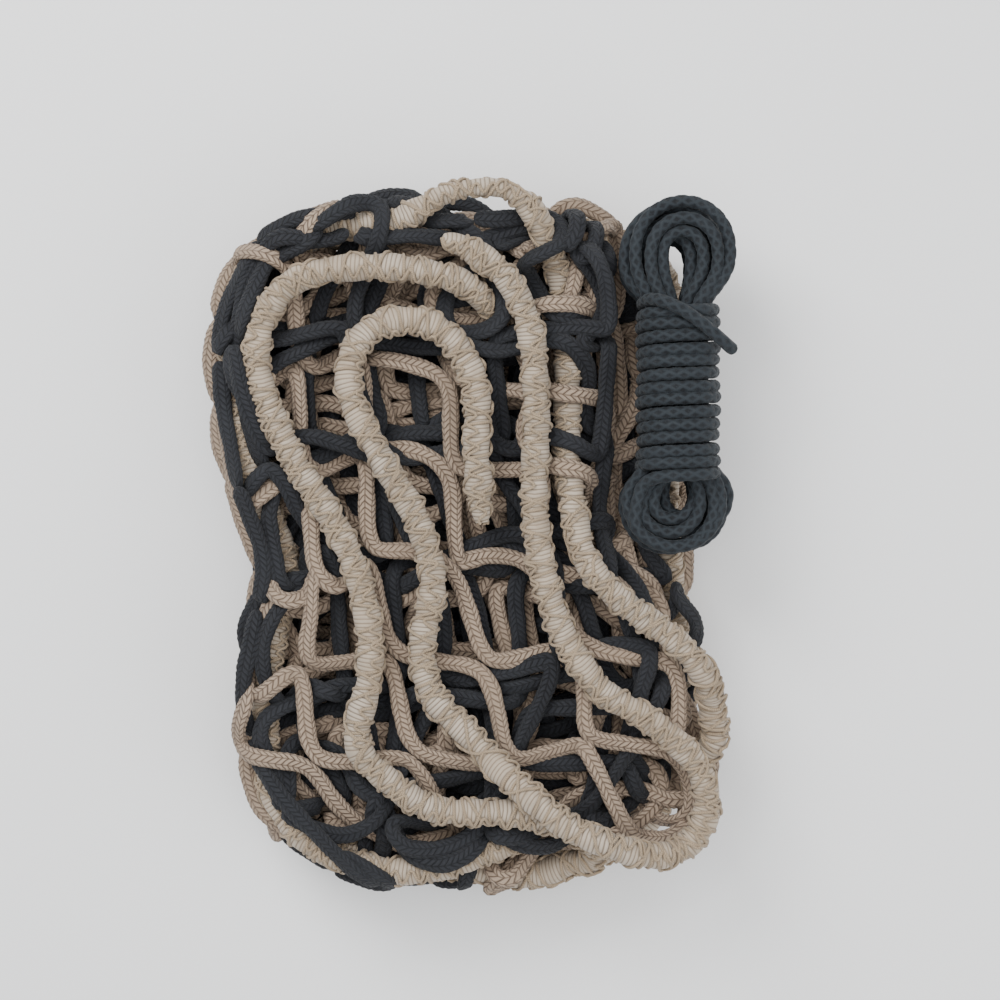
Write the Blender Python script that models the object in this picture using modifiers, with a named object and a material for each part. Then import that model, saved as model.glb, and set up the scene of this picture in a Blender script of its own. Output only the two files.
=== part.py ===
"""Folded slow-feeding hay net with its wound suspension rope. Metres, +Z up, lying on the floor at z = 0.

Two net panels lie on each other and are folded into three runs. Each panel is two solids that meet at the fold
below its highest run. Lashed ropes run along the panels' seams and mouth. The suspension rope is a separate
wound hank that lies on the net's second run.
"""

import math

import bpy
import bmesh
from mathutils import Vector

# Net panels, each gathered to one thick layer that is folded into three runs
LAYER = 0.011          # thickness of one gathered net layer
GAP = 0.0003           # gap between touching parts
FOLD_FAR = -0.128      # y of the fold centre at the far end, between the upper two runs
FOLD_NEAR = 0.122      # y of the fold centre at the mouth end, between the lower two runs
RUN_START = -0.143     # y where the lowest run starts
RUN_END = 0.140        # y where the highest run ends
FOLD_STEPS = 6         # segments in each half-circle fold
PANEL_REACH = 0.130    # half width of a panel before it is cut to the bundle's outline

# Outline of the folded panels, anticlockwise from the waist on the right: two lobes with a waist between
BUNDLE_OUTLINE = [
    (0.086, -0.012),
    (0.088, 0.050),
    (0.090, 0.105),
    (0.078, 0.134),
    (0.030, 0.148),
    (-0.050, 0.146),
    (-0.092, 0.131),
    (-0.101, 0.098),
    (-0.099, 0.045),
    (-0.082, -0.012),
    (-0.090, -0.060),
    (-0.088, -0.110),
    (-0.070, -0.140),
    (-0.020, -0.152),
    (0.045, -0.150),
    (0.085, -0.130),
    (0.096, -0.095),
    (0.094, -0.050),
]
SHELF_X = 0.058        # the upper run stops here, so that the rope hank lies on the run below
SHELF_Y = -0.022
SHELF_Z = 0.04505

# Lashed ropes
SEAM = 0.0145          # diameter of a lashed rope
LANE_1 = 0.0080        # heights of the rope centres beside the folded panels
LANE_2 = 0.0250
LANE_3 = 0.0420
LANE_4 = 0.0590
TOP = 0.0751           # height of a rope centre lying on the upper run
CROSS = 0.0903         # height of a rope centre crossing over another rope
SEAM_STEP = 0.018      # distance between the points of a lashed rope

# Side seam, 1.0 m: along the upper run, down over the far end and back beside the folds
LEFT_SEAM = [
    (-0.020, 0.1265, TOP),
    (-0.034, 0.1290, TOP),
    (-0.053, 0.1295, TOP),
    (-0.074, 0.127, TOP),
    (-0.089, 0.121, TOP),
    (-0.098, 0.109, TOP),
    (-0.103, 0.095, TOP),
    (-0.103, 0.080, TOP),
    (-0.098, 0.064, TOP),
    (-0.084, 0.035, TOP),
    (-0.062, 0.000, TOP),
    (-0.050, -0.035, TOP),
    (-0.049, -0.070, TOP),
    (-0.055, -0.088, TOP),
    (-0.056, -0.101, TOP),
    (-0.045, -0.112, TOP),
    (-0.034, -0.122, TOP),
    (-0.022, -0.129, TOP),
    (-0.006, -0.132, TOP),
    (0.012, -0.131, TOP),
    (0.032, -0.134, TOP),
    (0.052, -0.141, 0.0735),
    (0.062, -0.153, 0.065),
    (0.048, -0.163, 0.053),
    (0.018, -0.165, 0.044),
    (-0.030, -0.163, LANE_3),
    (-0.072, -0.153, LANE_3),
    (-0.095, -0.128, LANE_3),
    (-0.100, -0.095, LANE_3),
    (-0.099, -0.050, LANE_3),
    (-0.093, -0.012, LANE_3),
    (-0.103, 0.020, LANE_3),
    (-0.110, 0.062, LANE_3),
    (-0.112, 0.098, LANE_3),
    (-0.106, 0.134, LANE_3),
    (-0.070, 0.156, LANE_3),
    (-0.030, 0.159, LANE_3),
]
# Other side seam, 1.0 m: around the lowest run
RIGHT_SEAM = [
    (-0.066, 0.155, LANE_1),
    (-0.020, 0.159, LANE_1),
    (0.036, 0.159, LANE_1),
    (0.078, 0.148, LANE_1),
    (0.099, 0.120, LANE_1),
    (0.099, 0.060, LANE_1),
    (0.096, 0.000, LANE_1),
    (0.102, -0.040, LANE_1),
    (0.106, -0.080, LANE_1),
    (0.104, -0.118, LANE_1),
    (0.088, -0.148, LANE_1),
    (0.045, -0.162, LANE_1),
    (-0.015, -0.164, LANE_1),
    (-0.070, -0.154, LANE_1),
    (-0.095, -0.128, LANE_1),
    (-0.100, -0.095, LANE_1),
    (-0.099, -0.050, LANE_1),
    (-0.093, -0.012, LANE_1),
    (-0.103, 0.020, LANE_1),
    (-0.110, 0.062, LANE_1),
    (-0.112, 0.098, LANE_1),
    (-0.106, 0.132, LANE_1),
]
# Bottom seam, 0.9 m: around the second run
BOTTOM_SEAM = [
    (0.078, -0.153, LANE_2),
    (0.040, -0.163, LANE_2),
    (-0.015, -0.164, LANE_2),
    (-0.070, -0.154, LANE_2),
    (-0.095, -0.128, LANE_2),
    (-0.100, -0.095, LANE_2),
    (-0.099, -0.050, LANE_2),
    (-0.093, -0.012, LANE_2),
    (-0.103, 0.020, LANE_2),
    (-0.110, 0.062, LANE_2),
    (-0.112, 0.098, LANE_2),
    (-0.106, 0.134, LANE_2),
    (-0.070, 0.156, LANE_2),
    (-0.015, 0.159, LANE_2),
    (0.036, 0.159, LANE_2),
    (0.078, 0.148, LANE_2),
    (0.099, 0.120, LANE_2),
    (0.099, 0.060, LANE_2),
    (0.096, 0.000, LANE_2),
    (0.102, -0.040, LANE_2),
    (0.106, -0.080, LANE_2),
    (0.105, -0.112, LANE_2),
]
# Mouth rope of the panel with the small squares, 0.9 m: over the upper run and once around its corner
SMALL_MOUTH = [
    (-0.014, 0.1430, 0.0775),
    (-0.001, 0.138, TOP),
    (0.012, 0.129, TOP),
    (0.022, 0.116, TOP),
    (0.028, 0.100, TOP),
    (0.031, 0.060, TOP),
    (0.030, 0.010, TOP),
    (0.040, -0.038, TOP),
    (0.060, -0.072, TOP),
    (0.080, -0.084, TOP),
    (0.098, -0.098, TOP),
    (0.111, -0.114, TOP),
    (0.113, -0.132, TOP),
    (0.104, -0.147, TOP),
    (0.090, -0.153, 0.0785),
    (0.076, -0.149, 0.0860),
    (0.062, -0.144, CROSS),
    (0.047, -0.138, CROSS),
    (0.034, -0.128, CROSS),
    (0.023, -0.119, 0.0870),
    (0.013, -0.110, 0.0800),
    (0.003, -0.099, TOP),
    (-0.008, -0.088, TOP),
    (-0.021, -0.073, TOP),
    (-0.024, -0.050, TOP),
    (-0.018, -0.020, TOP),
    (-0.028, 0.012, TOP),
    (-0.046, 0.042, TOP),
    (-0.060, 0.074, TOP),
    (-0.052, 0.098, TOP),
    (-0.030, 0.105, TOP),
    (-0.010, 0.096, TOP),
    (0.002, 0.072, TOP),
    (0.002, 0.040, TOP),
    (0.005, 0.006, TOP),
]
# Mouth rope of the panel with the large squares, 0.9 m, with the loop that stands out at the head
LARGE_MOUTH = [
    (0.028, -0.151, TOP),
    (0.010, -0.154, 0.0740),
    (-0.008, -0.160, 0.0660),
    (-0.032, -0.163, 0.0600),
    (-0.072, -0.153, LANE_4),
    (-0.095, -0.128, LANE_4),
    (-0.100, -0.095, LANE_4),
    (-0.099, -0.050, LANE_4),
    (-0.093, -0.012, LANE_4),
    (-0.103, 0.020, LANE_4),
    (-0.114, 0.062, LANE_4),
    (-0.118, 0.098, LANE_4),
    (-0.110, 0.132, LANE_4),
    (-0.082, 0.152, LANE_4),
    (-0.050, 0.157, 0.0610),
    (-0.029, 0.157, 0.0670),
    (-0.014, 0.162, 0.0710),
    (0.004, 0.165, 0.0730),
    (0.021, 0.162, TOP),
    (0.034, 0.150, TOP),
    (0.043, 0.130, TOP),
    (0.049, 0.105, TOP),
    (0.050, 0.060, TOP),
    (0.048, 0.015, TOP),
    (0.057, -0.016, TOP),
    (0.076, -0.034, TOP),
    (0.092, -0.045, TOP),
    (0.106, -0.058, TOP),
    (0.116, -0.074, 0.0670),
    (0.118, -0.094, 0.0550),
    (0.115, -0.112, 0.0470),
    (0.107, -0.130, 0.0440),
]

# Suspension rope, 7.0 m, wound into a hank whose middle is wrapped with its own end
ROPE = 0.006           # diameter of the suspension rope
ROPE_STEP = 0.008      # distance between the points of the rope's free end
HANK_LOW = 0.0453      # height of the hank's underside
HANK_THICK = 0.040     # thickness of the hank
HANK_EDGE = 0.008      # rounding along the hank's edges
HANK_OUTLINE = [
    (0.100, -0.006),
    (0.118, 0.000),
    (0.124, 0.014),
    (0.117, 0.030),
    (0.118, 0.080),
    (0.124, 0.108),
    (0.125, 0.140),
    (0.117, 0.158),
    (0.100, 0.164),
    (0.082, 0.158),
    (0.073, 0.140),
    (0.073, 0.108),
    (0.079, 0.080),
    (0.078, 0.030),
    (0.073, 0.014),
    (0.081, 0.000),
]
HANK_END = [
    (0.082, 0.113, 0.0890),
    (0.094, 0.107, 0.0890),
    (0.106, 0.100, 0.0890),
    (0.116, 0.094, 0.0886),
    (0.1225, 0.090, 0.0850),
]

COLOURS = {
    "small_square_net": (0.46, 0.36, 0.29),
    "large_square_net": (0.018, 0.018, 0.020),
    "lashed_rope": (0.53, 0.44, 0.34),
    "suspension_rope": (0.014, 0.014, 0.016),
}


def clear_scene():
    for obj in list(bpy.data.objects):
        bpy.data.objects.remove(obj, do_unlink=True)


def make_collection(name):
    collection = bpy.data.collections.new(name)
    bpy.context.scene.collection.children.link(collection)
    return collection


def make_material(name, colour, roughness=0.85):
    material = bpy.data.materials.new(name)
    material.use_nodes = True
    shader = material.node_tree.nodes["Principled BSDF"]
    shader.inputs["Base Color"].default_value = (*colour, 1.0)
    shader.inputs["Roughness"].default_value = roughness
    shader.inputs["Metallic"].default_value = 0.0
    return material


def curve_through(points, t):
    """Point at t on the Catmull-Rom curve through the points; t counts whole points."""
    last = len(points) - 1
    i = min(int(t), last - 1)
    u = t - i
    p1 = Vector(points[i])
    p2 = Vector(points[i + 1])
    p0 = Vector(points[i - 1]) if i > 0 else p1 * 2 - p2
    p3 = Vector(points[i + 2]) if i + 2 <= last else p2 * 2 - p1
    return 0.5 * (
        p1 * 2
        + (p2 - p0) * u
        + (p0 * 2 - p1 * 5 + p2 * 4 - p3) * u**2
        + (p1 * 3 - p0 - p2 * 3 + p3) * u**3
    )


def even_points(points, step):
    """Points about step apart along the smooth curve through the route's points."""
    fine = [curve_through(points, i / 24) for i in range(24 * (len(points) - 1) + 1)]
    run = [0.0]
    for a, b in zip(fine, fine[1:]):
        run.append(run[-1] + (b - a).length)
    count = max(2, round(run[-1] / step))
    out = []
    k = 0
    for i in range(count + 1):
        goal = run[-1] * i / count
        while k < len(run) - 2 and run[k + 1] < goal:
            k += 1
        u = (goal - run[k]) / (run[k + 1] - run[k])
        out.append(fine[k].lerp(fine[k + 1], u))
    return out


def add_rope(name, route, diameter, step, material, collection):
    """Round rope along the smooth curve through the route's points."""
    points = even_points(route, step)
    curve = bpy.data.curves.new(name, "CURVE")
    curve.dimensions = "3D"
    curve.bevel_depth = diameter / 2
    curve.bevel_resolution = 2
    curve.use_fill_caps = True
    spline = curve.splines.new("POLY")
    spline.points.add(len(points) - 1)
    for point, place in zip(spline.points, points):
        point.co = (*place, 1.0)
    curve.materials.append(material)
    obj = bpy.data.objects.new(name, curve)
    collection.objects.link(obj)
    return obj


def flat_outline(name, points, half_height):
    """Mesh object made from a filled 2D outline, extruded half_height to each side of its own XY plane."""
    curve = bpy.data.curves.new(name, "CURVE")
    curve.dimensions = "2D"
    curve.fill_mode = "BOTH"
    curve.extrude = half_height
    spline = curve.splines.new("POLY")
    spline.points.add(len(points) - 1)
    for point, place in zip(spline.points, points):
        point.co = (place[0], place[1], 0.0, 1.0)
    spline.use_cyclic_u = True
    shape = bpy.data.objects.new(name + "_outline", curve)
    bpy.context.scene.collection.objects.link(shape)
    depsgraph = bpy.context.evaluated_depsgraph_get()
    mesh = bpy.data.meshes.new_from_object(shape.evaluated_get(depsgraph))
    bpy.data.objects.remove(shape, do_unlink=True)
    edit = bmesh.new()
    edit.from_mesh(mesh)
    bmesh.ops.remove_doubles(edit, verts=edit.verts, dist=0.00001)
    bmesh.ops.recalc_face_normals(edit, faces=edit.faces)
    edit.to_mesh(mesh)
    edit.free()
    mesh.name = name
    return bpy.data.objects.new(name, mesh)


def add_hank(name, material, collection):
    """Wound rope as one solid: its outline seen from above, with rounded edges."""
    obj = flat_outline(name, HANK_OUTLINE, HANK_THICK / 2)
    obj.location.z = HANK_LOW + HANK_THICK / 2
    obj.data.materials.append(material)
    collection.objects.link(obj)
    edge = obj.modifiers.new("rounded_edge", "BEVEL")
    edge.width = HANK_EDGE
    edge.segments = 2
    edge.limit_method = "ANGLE"
    edge.angle_limit = math.radians(60)
    return obj


def layer_height(level):
    """Height of the middle of a layer, counted from 0 at the floor."""
    return LAYER / 2 + level * (LAYER + GAP)


def fold(y, low, high, radius, outward):
    """Points (y, z) of the half circle around a fold from low to high; outward is +1 for a fold at +Y."""
    steps = FOLD_STEPS if radius > 0.002 else 2
    points = []
    for i in range(steps + 1):
        turn = math.pi * i / steps
        points.append((y + outward * radius * math.sin(turn), (low + high) / 2 - radius * math.cos(turn)))
    return points


def lower_profile(first, second):
    """Outline (y, z) of a panel's lower two runs with the fold at the mouth end between them."""
    half = LAYER / 2
    low = layer_height(first)
    high = layer_height(second)
    radius = (high - low) / 2
    outer = [(RUN_START, low - half)]
    outer += fold(FOLD_NEAR, low, high, radius + half, 1)
    outer += [(FOLD_FAR + GAP, high + half)]
    inner = [(RUN_START, low + half)]
    inner += fold(FOLD_NEAR, low, high, radius - half, 1)
    inner += [(FOLD_FAR + GAP, high - half)]
    return outer + inner[::-1]


def upper_profile(second, third):
    """Outline (y, z) of a panel's highest run with the fold at the far end that leads up to it."""
    half = LAYER / 2
    low = layer_height(second)
    high = layer_height(third)
    radius = (high - low) / 2
    outer = fold(FOLD_FAR, low, high, radius + half, -1)
    outer += [(RUN_END, high + half)]
    inner = fold(FOLD_FAR, low, high, radius - half, -1)
    inner += [(RUN_END, high - half)]
    return outer + inner[::-1]


def add_panel(name, profile, material, collection, cutters):
    """Folded runs of a panel, cut to the bundle's outline and to the shelf for the rope hank."""
    obj = flat_outline(name, profile, PANEL_REACH)
    obj.rotation_euler = (math.pi / 2, 0.0, math.pi / 2)
    obj.data.materials.append(material)
    collection.objects.link(obj)
    for cutter, operation in zip(cutters, ("INTERSECT", "DIFFERENCE")):
        cut = obj.modifiers.new(cutter.name, "BOOLEAN")
        cut.operation = operation
        cut.solver = "EXACT"
        cut.object = cutter
    return obj


def make_cutters(collection):
    """The bundle's outline as a prism, and the box over the shelf for the hank."""
    outline = flat_outline("bundle_outline", BUNDLE_OUTLINE, 0.1)
    outline.location.z = 0.05
    collection.objects.link(outline)
    bpy.ops.mesh.primitive_cube_add(size=1.0)
    shelf = bpy.context.active_object
    shelf.name = "shelf_box"
    for owner in list(shelf.users_collection):
        owner.objects.unlink(shelf)
    collection.objects.link(shelf)
    shelf.scale = (0.1, 0.3, 0.1)
    shelf.location = (SHELF_X + 0.05, SHELF_Y + 0.15, SHELF_Z + 0.05)
    for cutter in (outline, shelf):
        cutter.hide_render = True
        cutter.display_type = "WIRE"
    return outline, shelf


def build():
    clear_scene()
    parts = make_collection("folded_hay_net")
    guides = make_collection("cutters")
    cutters = make_cutters(guides)
    small = make_material("small_square_net", COLOURS["small_square_net"])
    large = make_material("large_square_net", COLOURS["large_square_net"])
    add_panel("large_square_net_lower", lower_profile(0, 3), large, parts, cutters)
    add_panel("large_square_net_upper", upper_profile(3, 4), large.copy(), parts, cutters)
    add_panel("small_square_net_lower", lower_profile(1, 2), small, parts, cutters)
    add_panel("small_square_net_upper", upper_profile(2, 5), small.copy(), parts, cutters)
    seams = {
        "left_seam_rope": LEFT_SEAM,
        "right_seam_rope": RIGHT_SEAM,
        "bottom_seam_rope": BOTTOM_SEAM,
        "small_square_mouth_rope": SMALL_MOUTH,
        "large_square_mouth_rope": LARGE_MOUTH,
    }
    for name, route in seams.items():
        lashed = make_material(name, COLOURS["lashed_rope"])
        add_rope(name, route, SEAM, SEAM_STEP, lashed, parts)
    rope = make_material("suspension_rope", COLOURS["suspension_rope"])
    add_hank("suspension_rope_hank", rope, parts)
    add_rope("suspension_rope_end", HANK_END, ROPE, ROPE_STEP, rope.copy(), parts)


build()
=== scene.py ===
import itertools
import math

import bpy
import numpy as np
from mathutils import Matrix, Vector


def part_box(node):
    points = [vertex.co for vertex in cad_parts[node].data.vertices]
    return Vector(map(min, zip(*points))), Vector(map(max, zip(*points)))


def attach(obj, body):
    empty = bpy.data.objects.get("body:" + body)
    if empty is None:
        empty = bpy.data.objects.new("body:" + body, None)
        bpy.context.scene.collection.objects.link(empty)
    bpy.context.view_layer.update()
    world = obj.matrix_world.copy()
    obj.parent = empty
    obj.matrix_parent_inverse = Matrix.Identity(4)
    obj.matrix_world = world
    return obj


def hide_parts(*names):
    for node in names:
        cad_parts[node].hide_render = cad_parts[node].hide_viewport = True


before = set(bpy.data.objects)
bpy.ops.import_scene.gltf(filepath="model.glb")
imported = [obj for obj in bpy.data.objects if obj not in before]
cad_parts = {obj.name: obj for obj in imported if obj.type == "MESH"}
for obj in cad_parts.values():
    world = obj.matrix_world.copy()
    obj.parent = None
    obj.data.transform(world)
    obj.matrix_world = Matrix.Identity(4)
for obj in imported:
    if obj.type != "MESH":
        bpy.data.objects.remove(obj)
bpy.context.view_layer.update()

RNG = np.random.default_rng(7)

# ------------------------------------------------------------------ the net and its folding, in metres
SMALL_BAR = 0.045      # side of a small square
LARGE_BAR = 0.060      # side of a large square
SMALL_CELLS = (20, 22)
LARGE_CELLS = (15, 17)
SMALL_PARTS = 5        # segments of a bar while the net settles
LARGE_PARTS = 6
PANEL = (0.90, 1.00)   # width and length of each panel
PLEATS = 4             # pleats across the width
RUNS = 3               # runs along the length
LEVEL = 0.00265        # spacing of the folded layers before they settle
CORD_HALF_WIDE = 0.0042
CORD_HALF_THICK = 0.0023
CORD_RADIUS = 0.0027   # contact radius of a net cord
SEAM_RADIUS = 0.0072   # contact radius of a lashed rope
SEAM_STEP = 0.006      # spacing of a lashed rope's points
ROPE = 0.006           # diameter of the suspension rope

# Heights of the lashed ropes' centres: beside the folded runs, on the upper run and crossing another rope
LANE_1 = 0.0080
LANE_2 = 0.0250
LANE_3 = 0.0420
LANE_4 = 0.0590
TOP = 0.0751
CROSS = 0.0903

# The ropes' routes down the left side and down the right side of the folded net, seen from above
LEFT_LANE = [(-0.095, -0.128), (-0.100, -0.095), (-0.099, -0.050), (-0.093, -0.012), (-0.103, 0.020)]
LEFT_LANE_HEAD = [(-0.110, 0.062), (-0.112, 0.098)]
RIGHT_LANE = [(0.036, 0.159), (0.078, 0.148), (0.099, 0.120), (0.099, 0.060), (0.096, 0.000), (0.102, -0.040),
    (0.106, -0.080)]


def level_at(z, places):
    """Points at one height."""
    return [(x, y, z) for x, y in places]


LEFT_SEAM = [
    (0.009, 0.106, 0.0660), (0.004, 0.116, 0.0690), (-0.006, 0.1235, 0.0730),
    *level_at(TOP, [
        (-0.020, 0.1265), (-0.034, 0.1290), (-0.053, 0.1295), (-0.074, 0.127), (-0.089, 0.121),
        (-0.098, 0.109), (-0.103, 0.095), (-0.103, 0.080), (-0.098, 0.064), (-0.084, 0.035),
        (-0.062, 0.000), (-0.050, -0.035), (-0.049, -0.070), (-0.055, -0.088), (-0.056, -0.101),
        (-0.045, -0.112), (-0.034, -0.122), (-0.022, -0.129), (-0.006, -0.132), (0.012, -0.131),
        (0.032, -0.134),
    ]),
    (0.052, -0.141, 0.0735), (0.062, -0.153, 0.065), (0.048, -0.163, 0.053), (0.018, -0.165, 0.044),
    *level_at(LANE_3, [(-0.030, -0.163), (-0.072, -0.153), *LEFT_LANE, *LEFT_LANE_HEAD, (-0.106, 0.134),
        (-0.070, 0.156), (-0.030, 0.159)]),
]
RIGHT_SEAM = level_at(LANE_1, [
    (-0.066, 0.155), (-0.020, 0.159), *RIGHT_LANE, (0.104, -0.118), (0.088, -0.148), (0.045, -0.162),
    (-0.015, -0.164), (-0.070, -0.154), *LEFT_LANE, *LEFT_LANE_HEAD, (-0.106, 0.132),
])
BOTTOM_SEAM = level_at(LANE_2, [
    (0.078, -0.153), (0.040, -0.163), (-0.015, -0.164), (-0.070, -0.154), *LEFT_LANE, *LEFT_LANE_HEAD,
    (-0.106, 0.134), (-0.070, 0.156), (-0.015, 0.159), *RIGHT_LANE, (0.105, -0.112),
])
SMALL_MOUTH = [
    (-0.014, 0.1430, 0.0775),
    *level_at(TOP, [
        (-0.001, 0.138), (0.012, 0.129), (0.022, 0.116), (0.028, 0.100), (0.031, 0.060), (0.030, 0.010),
        (0.040, -0.038), (0.060, -0.072), (0.080, -0.084), (0.098, -0.098), (0.111, -0.114), (0.113, -0.132),
        (0.104, -0.147),
    ]),
    (0.090, -0.153, 0.0785), (0.076, -0.149, 0.0860),
    *level_at(CROSS, [(0.062, -0.144), (0.047, -0.138), (0.034, -0.128)]),
    (0.023, -0.119, 0.0870), (0.013, -0.110, 0.0800),
    *level_at(TOP, [
        (0.003, -0.099), (-0.008, -0.088), (-0.021, -0.073), (-0.024, -0.050), (-0.018, -0.020),
        (-0.028, 0.012), (-0.046, 0.042), (-0.060, 0.074), (-0.052, 0.098), (-0.030, 0.105),
        (-0.010, 0.096), (0.002, 0.072), (0.002, 0.040), (0.005, 0.006),
    ]),
]
LARGE_MOUTH = [
    (0.026, -0.151, 0.0600), (0.008, -0.155, 0.0585), (-0.009, -0.161, 0.0580), (-0.033, -0.164, 0.0575),
    *level_at(LANE_4, [(-0.072, -0.153), *LEFT_LANE, (-0.114, 0.062), (-0.118, 0.098), (-0.110, 0.132),
        (-0.082, 0.152)]),
    (-0.050, 0.157, 0.0610), (-0.029, 0.157, 0.0670), (-0.015, 0.1645, 0.0715), (0.003, 0.1680, 0.0740),
    (0.021, 0.1650, TOP), (0.033, 0.151, 0.0700), (0.042, 0.132, 0.0590), (0.047, 0.105, 0.0560),
    (0.048, 0.060, 0.0590), (0.048, 0.015, 0.0680),
    *level_at(TOP, [(0.057, -0.016), (0.076, -0.034), (0.092, -0.045), (0.106, -0.058)]),
    (0.116, -0.074, 0.0670), (0.118, -0.094, 0.0550), (0.115, -0.112, 0.0470), (0.107, -0.130, 0.0440),
]
ROUTES = {
    "left_seam_rope": LEFT_SEAM,
    "right_seam_rope": RIGHT_SEAM,
    "bottom_seam_rope": BOTTOM_SEAM,
    "small_square_mouth_rope": SMALL_MOUTH,
    "large_square_mouth_rope": LARGE_MOUTH,
}


# The bundle's outline seen from above: y, left edge and right edge
OUTLINE = [
    (-0.172, -0.030, 0.000), (-0.162, -0.066, 0.050), (-0.148, -0.094, 0.100), (-0.125, -0.112, 0.118),
    (-0.095, -0.117, 0.118), (-0.055, -0.110, 0.110), (-0.012, -0.101, 0.102), (0.030, -0.117, 0.106),
    (0.080, -0.128, 0.106), (0.120, -0.126, 0.104), (0.140, -0.114, 0.094), (0.156, -0.080, 0.074),
    (0.166, -0.040, 0.040),
]
EDGE_Y, EDGE_LEFT, EDGE_RIGHT = zip(*OUTLINE)
FRONT_END, HEAD_END = -0.168, 0.161   # how far the cords reach along the bundle
BULGE = 0.0065         # how far past the outline the lower runs may bulge
BULGE_TOP = 0.056      # and up to what height
INSIDE_LANES = 0.018   # the lower runs stay this far inside the outline, between the lashed ropes
HANK_SIDE = 0.0690     # the upper run stops here, beside the rope hank
HANK_FLOOR = 0.0440    # and the lower runs stay below the hank
HANK_Y = -0.014
UPPER_LEVELS = (14.5, 16.5)    # the upper run begins between these layers

PAIR_REACH = 0.0175    # segments whose middles are further apart can't touch
CELL = 0.004           # size of the ceiling map's cells, and how many there are each way
CELLS = 100

# Order of the folded layers from the floor, by run and pleat
SMALL_LEVELS = [[7, 6, 5, 4], [11, 10, 9, 8], [17, 23, 19, 18]]
LARGE_LEVELS = [[0, 1, 2, 3], [12, 13, 14, 15], [16, 22, 21, 20]]


def soft_wave(low, high, count):
    """Smooth random function of two coordinates, a sum of sines with wave numbers from low to high."""
    turn = RNG.uniform(0, 2 * math.pi, count)
    number = RNG.uniform(low, high, count)
    phase = RNG.uniform(0, 2 * math.pi, count)

    def value(u, v):
        total = 0.0
        for a, k, p in zip(turn, number, phase):
            total = total + np.sin(k * (np.cos(a) * u + np.sin(a) * v) + p)
        return total / math.sqrt(count)

    return value


def unit(v):
    return v / (np.linalg.norm(v, axis=-1, keepdims=True) + 1e-12)


def ease(low, high, x):
    t = np.clip((x - low) / (high - low), 0, 1)
    return t * t * (3 - 2 * t)


class Fold:
    """Where a point of a panel starts in the folded stack."""

    def __init__(self, levels, at_head, width):
        self.levels = np.array(levels)
        self.at_head = at_head   # how many levels its uppermost pleats rise towards the head of the bundle
        self.width = width       # how much wider than the outline's share they lie there
        self.middle = [soft_wave(22, 36, 6), soft_wave(22, 36, 6)]
        self.sway = [soft_wave(5, 16, 5), soft_wave(5, 16, 5)]
        self.crumple = [soft_wave(40, 90, 8), soft_wave(40, 90, 8), soft_wave(30, 70, 6)]

    def level(self, run, pleat):
        return self.levels[np.clip(run, 0, RUNS - 1), np.clip(pleat, 0, PLEATS - 1)]

    def place(self, u, v):
        pleat = np.floor(np.clip(u / PANEL[0] * PLEATS, 0, PLEATS - 1e-6)).astype(int)
        run = np.floor(np.clip(v / PANEL[1] * RUNS, 0, RUNS - 1e-6)).astype(int)
        across = u / PANEL[0] * PLEATS - pleat
        along = v / PANEL[1] * RUNS - run
        here = self.level(run, pleat).astype(float)
        height = here.copy()
        height += ease(0.88, 1.12, across) * (self.level(run, pleat + 1) - here)
        height += (1 - ease(-0.12, 0.12, across)) * (self.level(run, pleat - 1) - here)
        height += ease(0.88, 1.12, along) * (self.level(run + 1, pleat) - here)
        height += (1 - ease(-0.12, 0.12, along)) * (self.level(run - 1, pleat) - here)
        side = np.where(pleat % 2 == 0, across, 1 - across) * 2 - 1
        end = np.where(run % 2 == 0, along, 1 - along) * 2 - 1
        upper = ease(*UPPER_LEVELS, height)
        y = end * (0.146 + 0.014 * upper) - 0.004 + 0.008 * self.sway[0](u, v) + 0.012 * self.middle[0](u, v)
        y = y + 0.005 * self.crumple[0](u, v)
        head = ease(0.03, 0.10, y) * ease(18.5, 20.5, height)
        height = height + self.at_head * head
        left = np.interp(y, EDGE_Y, EDGE_LEFT) + INSIDE_LANES * (1 - upper)
        right = np.interp(y, EDGE_Y, EDGE_RIGHT) - INSIDE_LANES * (1 - upper)
        beside = (height > 12.5) & (y > HANK_Y - 0.01)
        right = np.where(beside, np.minimum(right, HANK_SIDE), right)
        x = (left + right) / 2 + (right - left) / 2 * side * (1.02 + self.width * head)
        x = x + 0.008 * self.sway[1](u, v) + 0.012 * self.middle[1](u, v) + 0.005 * self.crumple[1](u, v)
        z = 0.004 + height * LEVEL + 0.002 * self.crumple[2](u, v)
        return np.stack([x, y, z], -1)


class Cords:
    """All cords as particles joined by segments."""

    def __init__(self):
        self.places = []
        self.count = 0
        self.segments = []
        self.lengths = []
        self.radii = []
        self.cords = []
        self.bends = []
        self.cord_count = 0

    def particles(self, places):
        ids = np.arange(self.count, self.count + len(places))
        self.places.append(np.asarray(places, float))
        self.count += len(places)
        return ids

    def join(self, rows, length, radius):
        """Each row of particle numbers is one cord; length is the length of its segments."""
        for k in range(rows.shape[1] - 1):
            self.segments.append(rows[:, k:k + 2])
            self.lengths.append(np.full(len(rows), length))
            self.radii.append(np.full(len(rows), radius))
            self.cords.append(self.cord_count + np.arange(len(rows)))
        for k in range(rows.shape[1] - 2):
            self.bends.append(rows[:, [k, k + 2]])
        self.cord_count += len(rows)


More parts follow.
